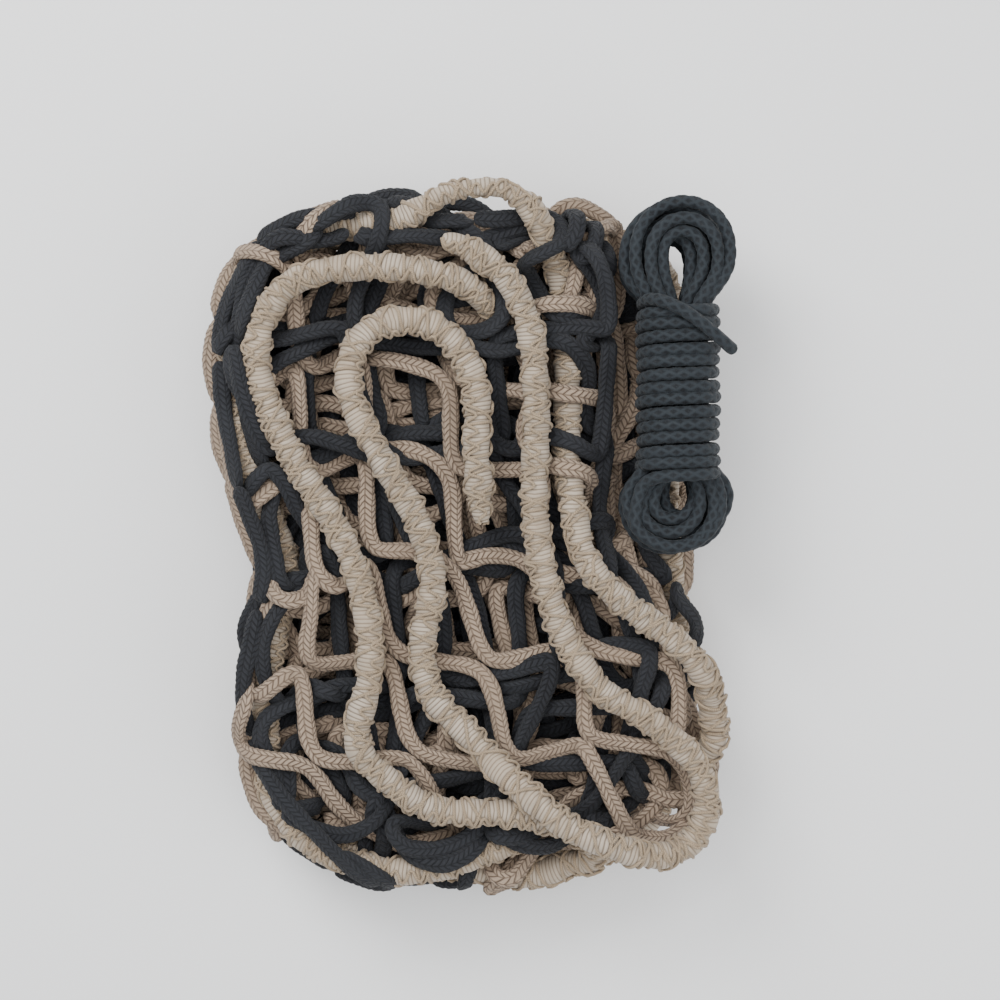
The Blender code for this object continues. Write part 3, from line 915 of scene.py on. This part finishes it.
def skin_panel(name, panel, place, split, seen_above, seen_round):
    """Skins the panel's cords in two pieces, cut where the upper run begins."""
    nodes, across, along = panel
    parts = {"lower": [], "upper": []}
    for row, mark in staircases(nodes, across, along):
        line = blur(cord_line(row, mark, place), 1)
        fine = curve_through(line, FINE)
        length = distance_along(fine)
        top = np.repeat(seen_above[row], FINE)[:len(fine)].astype(float)
        edge = np.repeat(seen_round[row], FINE)[:len(fine)].astype(float)
        top = np.convolve(top, np.ones(21), "same") > 0.5
        edge = np.convolve(edge, np.ones(11), "same") > 0.5
        step = np.where(top, STEP_SEEN, np.where(edge, STEP_SIDE, STEP_HIDDEN))
        high = np.repeat(split[row], FINE)[:len(fine)]
        density = np.r_[0, np.cumsum(np.diff(length) / step[:-1])]
        count = max(4, int(density[-1]) + 1)
        at = np.interp(np.linspace(0, density[-1], count), density, length)
        centre = at_distances(at, length, fine)
        tip = 0.35 * np.sin(at / 0.021 + RNG.uniform(0, 6))
        lean = 0.35 * np.sin(at / 0.017 + RNG.uniform(0, 6))
        roll = np.stack([tip, lean, 0 * at], 1)
        rings = stitched_cord(centre, at, roll)
        # a cord's own ends are bound into the edge, so they narrow
        close = np.sqrt(np.clip(np.minimum(at, at[-1] - at) / END_TAPER, 0, 1))
        rings = centre[:, None, :] + (rings - centre[:, None, :]) * (0.35 + 0.65 * close)[:, None, None]
        upper = np.interp(at, length, high.astype(float)) > 0.5
        cuts = np.flatnonzero(np.diff(upper.astype(int))) + 1
        bounds = [0, *cuts, len(at)]
        for a, b in zip(bounds, bounds[1:]):
            b = min(b + 1, len(at))
            if b - a >= 2:
                parts["upper" if upper[a] else "lower"] += sweep(rings[a:b], at[a:b])
    return {
        "lower": make_mesh(f"{name}_lower_runs", parts["lower"]),
        "upper": make_mesh(f"{name}_upper_run", parts["upper"]),
    }


# ------------------------------------------------------------------ lashed ropes
TWINE = 0.00080        # radius of the lashing twine
CORE = 0.0061          # radius of the lashed core
RIB = 0.0185           # one bulge of the core and one group of lashings
LINE_STEP = 0.0005
CORE_RING = 18         # corners of the core's and of a twine's ring
TWINE_RING = 6
ON_TOP = 0.060         # a rope whose centre is higher than this can be seen from above
CORE_STEPS = (0.0010, 0.0030)     # distance between the core's rings there and elsewhere
TWINE_STEPS = (0.0016, 0.0034)    # and between a twine's rings


def wandering(run, scales, sizes):
    """Uneven spacing along a rope: a few sines of the given wavelengths and sizes."""
    return sum(size * np.sin(run / scale + RNG.uniform(0, 2 * math.pi)) for scale, size in zip(scales, sizes))


def lumps(angle, run):
    """Slight unevenness of the lashed core, as a share of its radius."""
    return 0.030 * np.sin(3 * angle + run / 0.006) + 0.025 * np.sin(2 * angle - run / 0.0085)


def lashed_rope(name, line, girth):
    """The core with its bulges and five strands of twine laid on it, as one piece."""
    fine = even_steps(line, LINE_STEP)
    run = np.arange(len(fine)) * (np.linalg.norm(np.diff(fine, axis=0), axis=1).mean())
    above, side = carried_frames(fine)
    taper = np.clip(np.minimum(run, run[-1] - run) / 0.016, 0, 1) ** 0.6
    thick = girth(fine) * (0.30 + 0.70 * taper)
    top = fine[:, 2] > ON_TOP
    phase = run / RIB + wandering(run, (0.031, 0.013), (0.30, 0.08))
    within = phase - np.floor(phase)
    bulge = np.sin(math.pi * within) ** 1.2
    swell = CORE * thick * (0.86 + 0.17 * bulge)
    density = np.cumsum(LINE_STEP / np.where(top, *CORE_STEPS))
    pick = np.interp(np.arange(0, density[-1], 1.0), density, np.arange(len(fine))).astype(int)
    angle = (np.arange(CORE_RING) / CORE_RING * 2 * math.pi)[None, :]
    radius = swell[pick][:, None] * (1 + lumps(angle, run[pick][:, None]))
    parts = sweep(tube_rings(fine[pick], above[pick], side[pick], angle, radius), run[pick])
    # turns made by each strand: three wind round the core, two zigzag along its top and its underside
    close = 2.1 * phase + 0.30 * np.sin(2 * math.pi * phase) + wandering(run, (0.012, 0.0052), (0.22, 0.10))
    cross = -1.05 * phase + wandering(run, (0.017, 0.0061), (0.20, 0.08))
    slow = 0.75 * phase + wandering(run, (0.015, 0.0071), (0.16, 0.07))
    spine = 0.06 + 0.070 * np.sin(2 * math.pi * run / 0.0078) + wandering(run, (0.040,), (0.10,))
    spine_two = 0.55 + 0.060 * np.sin(2 * math.pi * run / 0.0098) + wandering(run, (0.047,), (0.12,))
    # and how much higher than the first each lies on the core, in radii of the twine
    strands = [(close, 0.0), (cross, 0.5), (slow, 0.3), (spine, 0.9), (spine_two, 0.8)]
    for number, (turn, lift) in enumerate(strands):
        travel = np.abs(np.gradient(turn)) * 2 * math.pi * CORE + np.gradient(run)
        amount = np.cumsum(travel / np.where(top, *TWINE_STEPS))
        at = np.interp(np.arange(amount[0], amount[-1], 1.0), amount, run)
        index = np.clip(np.searchsorted(run, at), 0, len(run) - 1)
        th = np.interp(at, run, turn) * 2 * math.pi
        r = np.interp(at, run, swell) * (1 + lumps(th, at))
        r = r + TWINE * (0.35 + lift) + 0.00015 * np.sin(at * 700 + number)
        out = above[index] * (np.cos(th) * r)[:, None] + side[index] * (np.sin(th) * r)[:, None]
        centre = at_distances(at, run, fine) + out
        corner = (np.arange(TWINE_RING) / TWINE_RING * 2 * math.pi)[None, :]
        tube = tube_rings(centre, *carried_frames(centre), corner, np.full((len(at), 1), TWINE))
        parts += [(v, f, uv + (0, 2.0)) for v, f, uv in sweep(tube, distance_along(centre))]
    return make_mesh(name, parts)


# ------------------------------------------------------------------ the suspension rope, wound into a hank
HANK_LOW, HANK_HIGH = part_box("suspension_rope_hank")
HANK_X = (HANK_LOW[0] + HANK_HIGH[0]) / 2                     # middle of the hank
HANK_ENDS = (HANK_LOW[1] + 0.0235, HANK_HIGH[1] - 0.0261)     # where the runs turn back
TURN_RADII = (0.0098, 0.0162, 0.0227)       # the nested turns' radii where they turn back
WAIST_OFFSETS = (0.0023, 0.0070, 0.0116)    # and how far from the middle they lie at the waist
TURN_LAYERS = 5
LAYER_RISE = 0.0067
LOWEST = HANK_LOW[2] + 0.0037         # height of the lowest layer's centre
WAIST = (0.0285, 0.1130)              # the part bound by the wrapped turns
WRAPS = 14
WRAP_HALF = (0.0173, 0.0212)          # half width and half height of a wrapped turn
WRAP_Z = 0.0668                       # height of the wraps' centre
TURN_POINTS = 60       # points of one turn, and of one wrap
WRAP_POINTS = 36
SLACK_X = (0.0028, -0.0034, 0.0030, -0.0034, 0.0026)    # how each layer's free ends stray from a neat stack
SLACK_Y = (0.0010, -0.0026, 0.0014, -0.0020, 0.0000)
ROUNDING = 2 / 3.1     # between a circle (1) and a rectangle (0), for a wrap
PLAIT = 0.0064         # one repeat of the plait
PLAIT_RING = 14


def on_turn(run, radius):
    """x and y on an upright oval of the given radius, at the distance run from its lower left."""
    low, high = HANK_ENDS
    straight, arc = high - low, math.pi * radius
    if run < straight:
        return -radius, low + run
    if run < straight + arc:
        a = (run - straight) / radius
        return -radius * math.cos(a), high + radius * math.sin(a)
    if run < 2 * straight + arc:
        return radius, high - (run - straight - arc)
    a = (run - 2 * straight - arc) / radius
    return radius * math.cos(a), low - radius * math.sin(a)


def nested_turns():
    """The turns of the hank, layer by layer, drawn together at its waist."""
    order = []
    for layer in range(TURN_LAYERS):
        columns = (0, 1, 2) if layer % 2 == 0 else (2, 1, 0)
        order += [(layer, column) for column in columns]
    line = []
    for turn, (layer, column) in enumerate(order):
        following = order[turn + 1] if turn + 1 < len(order) else (layer + 0.6, column)
        sway = RNG.normal(0, 0.0004, 3)
        for i in range(TURN_POINTS):
            t = i / TURN_POINTS
            blend = ease(0.72, 1.0, t)
            radius = TURN_RADII[column] * (1 - blend) + TURN_RADII[following[1]] * blend
            waist = WAIST_OFFSETS[column] * (1 - blend) + WAIST_OFFSETS[following[1]] * blend
            level = layer * (1 - blend) + following[0] * blend
            z = LOWEST + LAYER_RISE * level
            x, y = on_turn(t * 2 * (HANK_ENDS[1] - HANK_ENDS[0] + math.pi * radius), radius)
            bound = ease(WAIST[0] - 0.010, WAIST[0] + 0.012, y)
            bound = bound * (1 - ease(WAIST[1] - 0.006, WAIST[1] + 0.018, y))
            x = x * (1 - bound) + math.copysign(waist, x) * bound
            middle = 1.0 - abs(waist - WAIST_OFFSETS[1]) / (WAIST_OFFSETS[1] - WAIST_OFFSETS[0])
            z = z + bound * (0.0018 + 0.0030 * middle)
            z = z + 0.0009 * math.sin(37 * y + 2.1 * turn) + sway[2]
            # the free ends of the turns lie unevenly over each other
            flop = (1 - bound) * (1 if y > 0.06 else -1)
            x = x + flop * np.interp(level, range(TURN_LAYERS), SLACK_X)
            y = y + flop * np.interp(level, range(TURN_LAYERS), SLACK_Y)
            line.append((HANK_X + x + 0.0007 * math.sin(31 * y + turn) + sway[0], y + sway[1], z))
    return line


def wraps():
    """The turns wound round the waist: from the left over the top to the right, down and back beneath."""
    half_x, half_z = WRAP_HALF
    pitch = (WAIST[1] - WAIST[0]) / WRAPS
    line = []
    for i in range(WRAPS * WRAP_POINTS + 1):
        turns = i / WRAP_POINTS
        around = turns * 2 * math.pi
        wide = -math.cos(around + 0.7)
        tall = math.sin(around + 0.7)
        x = HANK_X + math.copysign(abs(wide) ** ROUNDING, wide) * half_x + 0.0004 * math.sin(5.1 * turns)
        y = WAIST[0] + pitch * turns + 0.0005 * math.sin(2.3 * turns)
        line.append((x, y, WRAP_Z + math.copysign(abs(tall) ** ROUNDING, tall) * half_z))
    return line


def hank_line():
    """The whole rope as one line: nested turns, then the wraps and the loose end that crosses them."""
    lead = [(HANK_X - 0.0190, 0.0225, 0.0795), (HANK_X - 0.0165, 0.0268, 0.0812)]
    end = [
        (0.0910, 0.1115, 0.0925), (0.1010, 0.1065, 0.0940), (0.1105, 0.0995, 0.0935),
        (0.1185, 0.0930, 0.0905), (0.1245, 0.0885, 0.0840),
    ]
    return np.array(nested_turns()[:-1] + lead + wraps()[3:] + end)


def plaited_rope(name, line):
    """A round plaited rope along the line, and the fine line that it follows."""
    fine = blur(smooth_route(line, 0.00108), 24)
    run = distance_along(fine)
    angle = (np.arange(PLAIT_RING) / PLAIT_RING * 2 * math.pi)[None, :]
    s = run[:, None] / PLAIT
    one = np.cos(math.pi * (s + 4 * angle / (2 * math.pi)))
    two = np.cos(math.pi * (s - 4 * angle / (2 * math.pi)))
    strand = np.maximum(np.abs(one), np.abs(two)) ** 1.5
    radius = ROPE / 2 * (0.87 + 0.17 * strand)
    close = np.clip(np.minimum(run, run[-1] - run) / 0.0022, 0, 1)[:, None] ** 0.5
    radius = radius * (0.55 + 0.45 * close)
    rings = tube_rings(fine, *carried_frames(fine), angle, radius)
    return make_mesh(name, sweep(rings, run)), fine


# ------------------------------------------------------------------ materials


class Nodes:
    """Short ways to lay out a material's nodes."""

    def __init__(self, name, roughness, sheen):
        self.material = bpy.data.materials.new(name)
        self.material.use_nodes = True
        self.tree = self.material.node_tree
        self.shader = self.tree.nodes["Principled BSDF"]
        self.shader.inputs["Roughness"].default_value = roughness
        self.shader.inputs["Sheen Weight"].default_value = sheen
        self.shader.inputs["Sheen Roughness"].default_value = 0.45
        self.shader.inputs["Specular IOR Level"].default_value = 0.28
        uv = self.add("ShaderNodeUVMap")
        uv.uv_map = "along"
        split = self.add("ShaderNodeSeparateXYZ")
        self.link(uv.outputs[0], split.inputs[0])
        self.along, self.around = split.outputs[0], split.outputs[1]
        self.place = self.add("ShaderNodeTexCoord").outputs["Object"]

    def add(self, kind, **settings):
        node = self.tree.nodes.new(kind)
        for key, value in settings.items():
            setattr(node, key, value)
        return node

    def link(self, a, b):
        self.tree.links.new(a, b)

    def math(self, operation, a, b=0.0):
        node = self.add("ShaderNodeMath", operation=operation)
        for socket, value in zip(node.inputs, (a, b)):
            if isinstance(value, (int, float)):
                socket.default_value = value
            else:
                self.link(value, socket)
        return node.outputs[0]

    def wave(self, turns, kind="SINE"):
        """Ridges with one ridge for each whole number of turns."""
        return self.math("ABSOLUTE", self.math(kind, self.math("MULTIPLY", turns, math.pi)))

    def noise(self, scale, detail=3.0, roughness=0.6):
        node = self.add("ShaderNodeTexNoise")
        node.inputs["Scale"].default_value = scale
        node.inputs["Detail"].default_value = detail
        node.inputs["Roughness"].default_value = roughness
        self.link(self.place, node.inputs["Vector"])
        return node.outputs["Fac"]

    def stretch(self, value, low, high, to_low=0.0, to_high=1.0):
        node = self.add("ShaderNodeMapRange")
        node.inputs["From Min"].default_value = low
        node.inputs["From Max"].default_value = high
        node.inputs["To Min"].default_value = to_low
        node.inputs["To Max"].default_value = to_high
        self.link(value, node.inputs["Value"])
        return node.outputs[0]

    def mix(self, amount, a, b):
        node = self.add("ShaderNodeMix", data_type="RGBA")
        if isinstance(amount, (int, float)):
            node.inputs[0].default_value = amount
        else:
            self.link(amount, node.inputs[0])
        for socket, value in ((node.inputs[6], a), (node.inputs[7], b)):
            if isinstance(value, tuple):
                socket.default_value = (*value, 1)
            else:
                self.link(value, socket)
        return node.outputs[2]

    def bump(self, height, distance, strength, below=None):
        node = self.add("ShaderNodeBump")
        node.inputs["Distance"].default_value = distance
        node.inputs["Strength"].default_value = strength
        self.link(height, node.inputs["Height"])
        if below is not None:
            self.link(below, node.inputs["Normal"])
        return node.outputs[0]

    def finish(self, colour, roughness, normal):
        self.link(colour, self.shader.inputs["Base Color"])
        self.link(roughness, self.shader.inputs["Roughness"])
        self.link(normal, self.shader.inputs["Normal"])
        return self.material


def braided_net_cord(name, light, painted_crevice_shade, worn, sheen):
    """Two chains of plump stitches side by side, each a row of Vs, with their filaments, gaps and wear; the
    crevices between stitches, along the chains and between filaments get painted shade.
    """
    n = Nodes(name, 0.85, sheen)
    chain = n.math("FRACT", n.math("MULTIPLY", n.around, 2.0))
    lean = n.math("MULTIPLY", n.math("ABSOLUTE", n.math("SUBTRACT", chain, 0.5)), 2.0)
    uneven = n.math("MULTIPLY", n.noise(170.0, 1.0), 0.7)
    phase = n.math("ADD", n.math("DIVIDE", n.along, CORD_PITCH), uneven)
    phase = n.math("SUBTRACT", phase, n.math("MULTIPLY", lean, CORD_SLANT))
    stitch = n.wave(phase)
    filaments = n.wave(n.math("MULTIPLY", phase, 4.0))
    gap = n.stretch(n.math("MINIMUM", lean, n.math("SUBTRACT", 1.0, lean)), 0.0, 0.16, 0.25, 1.0)
    body = n.math("MULTIPLY", n.stretch(stitch, 0.05, 0.75), gap)
    patch = n.stretch(n.noise(24.0), 0.35, 0.65)
    speck = n.noise(900.0, 2.0)
    # painted shade: the ends of the stitches and the lines along the two chains are darkened to the dark
    # colour, as shade in these crevices
    colour = n.mix(body, painted_crevice_shade, light)
    colour = n.mix(n.math("MULTIPLY", patch, 0.40), colour, worn)
    # painted shade: fine dark lines between the filaments, as shade in their grooves
    colour = n.mix(n.math("MULTIPLY", n.stretch(filaments, 0.0, 0.5, 1.0, 0.0), 0.30), colour, painted_crevice_shade)
    colour = n.mix(n.math("MULTIPLY", n.stretch(speck, 0.5, 0.75), 0.25), colour, worn)
    rough = n.stretch(speck, 0.3, 0.7, 0.70, 0.95)
    normal = n.bump(n.noise(2600.0, 2.0), 0.0003, 0.35)
    normal = n.bump(filaments, 0.00022, 0.5, normal)
    normal = n.bump(body, 0.0009, 0.55, normal)
    return n.finish(colour, rough, normal)


def lashing(name):
    """The core under the twine, with fine ribs, and the twine itself, lighter and twisted; the grooves of
    both get painted shade.
    """
    n = Nodes(name, 0.85, 0.15)
    is_twine = n.math("GREATER_THAN", n.around, 1.5)
    ribs = n.wave(n.math("ADD", n.math("DIVIDE", n.along, 0.0021), n.around))
    twist = n.wave(n.math("ADD", n.math("DIVIDE", n.along, 0.0011), n.math("MULTIPLY", n.around, 2.0)))
    patch = n.stretch(n.noise(30.0), 0.35, 0.65)
    grime = n.stretch(n.noise(120.0), 0.45, 0.75)
    # painted shade: the grooves between the core's ribs and between the twine's twists are darkened, the
    # darker colours standing for shade in them
    core = n.mix(n.stretch(ribs, 0.1, 0.7), (0.170, 0.130, 0.095), (0.440, 0.375, 0.300))
    twine = n.mix(n.stretch(twist, 0.05, 0.6), (0.140, 0.100, 0.066), (0.370, 0.285, 0.195))
    colour = n.mix(is_twine, core, twine)
    colour = n.mix(n.math("MULTIPLY", patch, 0.40), colour, (0.340, 0.255, 0.170))
    colour = n.mix(n.math("MULTIPLY", grime, 0.28), colour, (0.150, 0.112, 0.080))
    rough = n.stretch(n.noise(700.0), 0.3, 0.7, 0.68, 0.92)
    normal = n.bump(n.noise(2400.0, 2.0), 0.0003, 0.35)
    on_twine = n.math("MULTIPLY", twist, is_twine)
    on_core = n.math("MULTIPLY", ribs, n.math("SUBTRACT", 1.0, is_twine))
    normal = n.bump(n.math("ADD", on_twine, on_core), 0.0004, 0.6, normal)
    return n.finish(colour, rough, normal)


def plait(name):
    """Two sets of strands that cross, with their fibres, and painted shade in the grooves between the
    strands.
    """
    n = Nodes(name, 0.8, 0.06)
    s = n.math("DIVIDE", n.along, PLAIT)
    turn = n.math("MULTIPLY", n.around, 2.0)
    one = n.wave(n.math("ADD", s, turn), "COSINE")
    two = n.wave(n.math("SUBTRACT", s, turn), "COSINE")
    strand = n.math("MAXIMUM", one, two)
    hair = n.wave(n.math("DIVIDE", n.along, 0.00055))
    patch = n.stretch(n.noise(28.0), 0.35, 0.65)
    speck = n.noise(1000.0, 2.0)
    # painted shade: between the crossing strands the colour darkens towards the darkest tone, as shade in the
    # grooves
    colour = n.mix(n.stretch(strand, 0.6, 0.98), (0.005, 0.006, 0.008), (0.017, 0.022, 0.027))
    colour = n.mix(n.math("MULTIPLY", patch, 0.35), colour, (0.024, 0.030, 0.036))
    colour = n.mix(n.math("MULTIPLY", n.stretch(speck, 0.55, 0.75), 0.35), colour, (0.042, 0.050, 0.058))
    rough = n.stretch(speck, 0.3, 0.7, 0.62, 0.90)
    normal = n.bump(n.noise(2600.0, 2.0), 0.0003, 0.4)
    normal = n.bump(hair, 0.0002, 0.4, normal)
    normal = n.bump(strand, 0.0008, 0.5, normal)
    return n.finish(colour, rough, normal)


def plain(name, colour, roughness):
    """A plain matt finish with slight variation, for the floor."""
    n = Nodes(name, roughness, 0.0)
    patch = n.noise(3.0)
    tint = n.mix(n.math("MULTIPLY", patch, 0.04), colour, tuple(c * 0.97 for c in colour))
    rough = n.stretch(patch, 0.3, 0.7, roughness - 0.03, roughness)
    return n.finish(tint, rough, n.bump(n.noise(400.0), 0.0002, 0.03))


# ------------------------------------------------------------------ the pieces
def on_net(obj, node, material):
    obj.data.materials.append(material)
    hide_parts(node)
    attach(obj, "folded_net")
    return obj


# the second colour of each cord is painted shade for the crevices between stitches, along the chains and
# between filaments
sand = braided_net_cord(
    "sand_net_cord", (0.360, 0.275, 0.205), (0.075, 0.048, 0.031), (0.255, 0.188, 0.135), 0.08)
black = braided_net_cord(
    "black_net_cord", (0.018, 0.019, 0.023), (0.003, 0.003, 0.004), (0.025, 0.027, 0.032), 0.05)
twined = lashing("sand_rope_lashing")
black_plait = plait("black_plaited_rope")

upper = np.zeros(len(place), bool)
for nodes, across, along in (small, large):
    tall = along.shape[1]
    cut = round(tall * 2 / 3)
    upper[nodes[:, cut:]] = True
    upper[across[:, cut:, 1:-1]] = True
    upper[along[:, cut:, 1:]] = True
segments = np.concatenate(cords.segments)
cover = dense(place[segments])
seen_above = seen(place, cover, FROM_ABOVE, 0.005, 0.0045)
seen_round = seen(place, cover, FROM_ROUND, 0.006, 0.0045)

for name, panel, material in (("small_square_net", small, sand), ("large_square_net", large, black)):
    pieces = skin_panel(name, panel, place, upper, seen_above, seen_round)
    for key, obj in pieces.items():
        on_net(obj, f"{name}_{key}", material)


def girth(points):
    """The lashed rope is thinner along its free loop at the head of the bundle."""
    p = points
    at_head = ease(0.150, 0.160, p[:, 1]) * ease(0.060, 0.075, p[:, 2])
    at_head = at_head * ease(-0.035, -0.020, p[:, 0]) * (1 - ease(0.015, 0.035, p[:, 0]))
    return 1.06 - 0.34 * at_head


for name, line in rope_lines.items():
    rope = lashed_rope(name + "_lashed", line, girth)
    on_net(rope, name, twined)

rope, rope_path = plaited_rope("suspension_rope", hank_line())
rope.data.materials.append(black_plait)
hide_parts("suspension_rope_hank", "suspension_rope_end")
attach(rope, "suspension_rope")
tuple(rope_path[0])
[tuple(p) for p in rope_path[::3]]

# ------------------------------------------------------------------ floor, light and camera
bpy.ops.mesh.primitive_plane_add(size=6, location=(0, 0, -0.0004))
floor = bpy.context.object
floor.name = "floor"
floor.data.uv_layers[0].name = "along"
floor.data.materials.append(plain("pale_floor", (0.90, 0.90, 0.90), 0.9))


LIT_POINT = Vector((0, 0, 0.03))


def area_light(name, place, size, power):
    data = bpy.data.lights.new(name, "AREA")
    data.shape = "SQUARE"
    data.size = size
    data.energy = power
    light = bpy.data.objects.new(name, data)
    bpy.context.scene.collection.objects.link(light)
    light.location = place
    light.rotation_euler = (LIT_POINT - light.location).to_track_quat("-Z", "Y").to_euler()


area_light("key_light", (-0.55, 0.75, 1.10), 0.7, 18)
area_light("fill_light", (0.90, -0.50, 1.00), 1.0, 8)
area_light("top_light", (0.0, 0.1, 1.7), 1.2, 12)
world = bpy.data.worlds.new("studio")
world.use_nodes = True
world.node_tree.nodes["Background"].inputs["Color"].default_value = (0.92, 0.94, 0.96, 1)
world.node_tree.nodes["Background"].inputs["Strength"].default_value = 0.85
bpy.context.scene.world = world

camera_data = bpy.data.cameras.new("camera")
camera_data.lens = 90
camera_data.sensor_width = 36
camera = bpy.data.objects.new("camera", camera_data)
bpy.context.scene.collection.objects.link(camera)
camera.location = (0.0134, 0.0178, 1.27)
camera.rotation_euler = (0, 0, 0)
bpy.context.scene.camera = camera
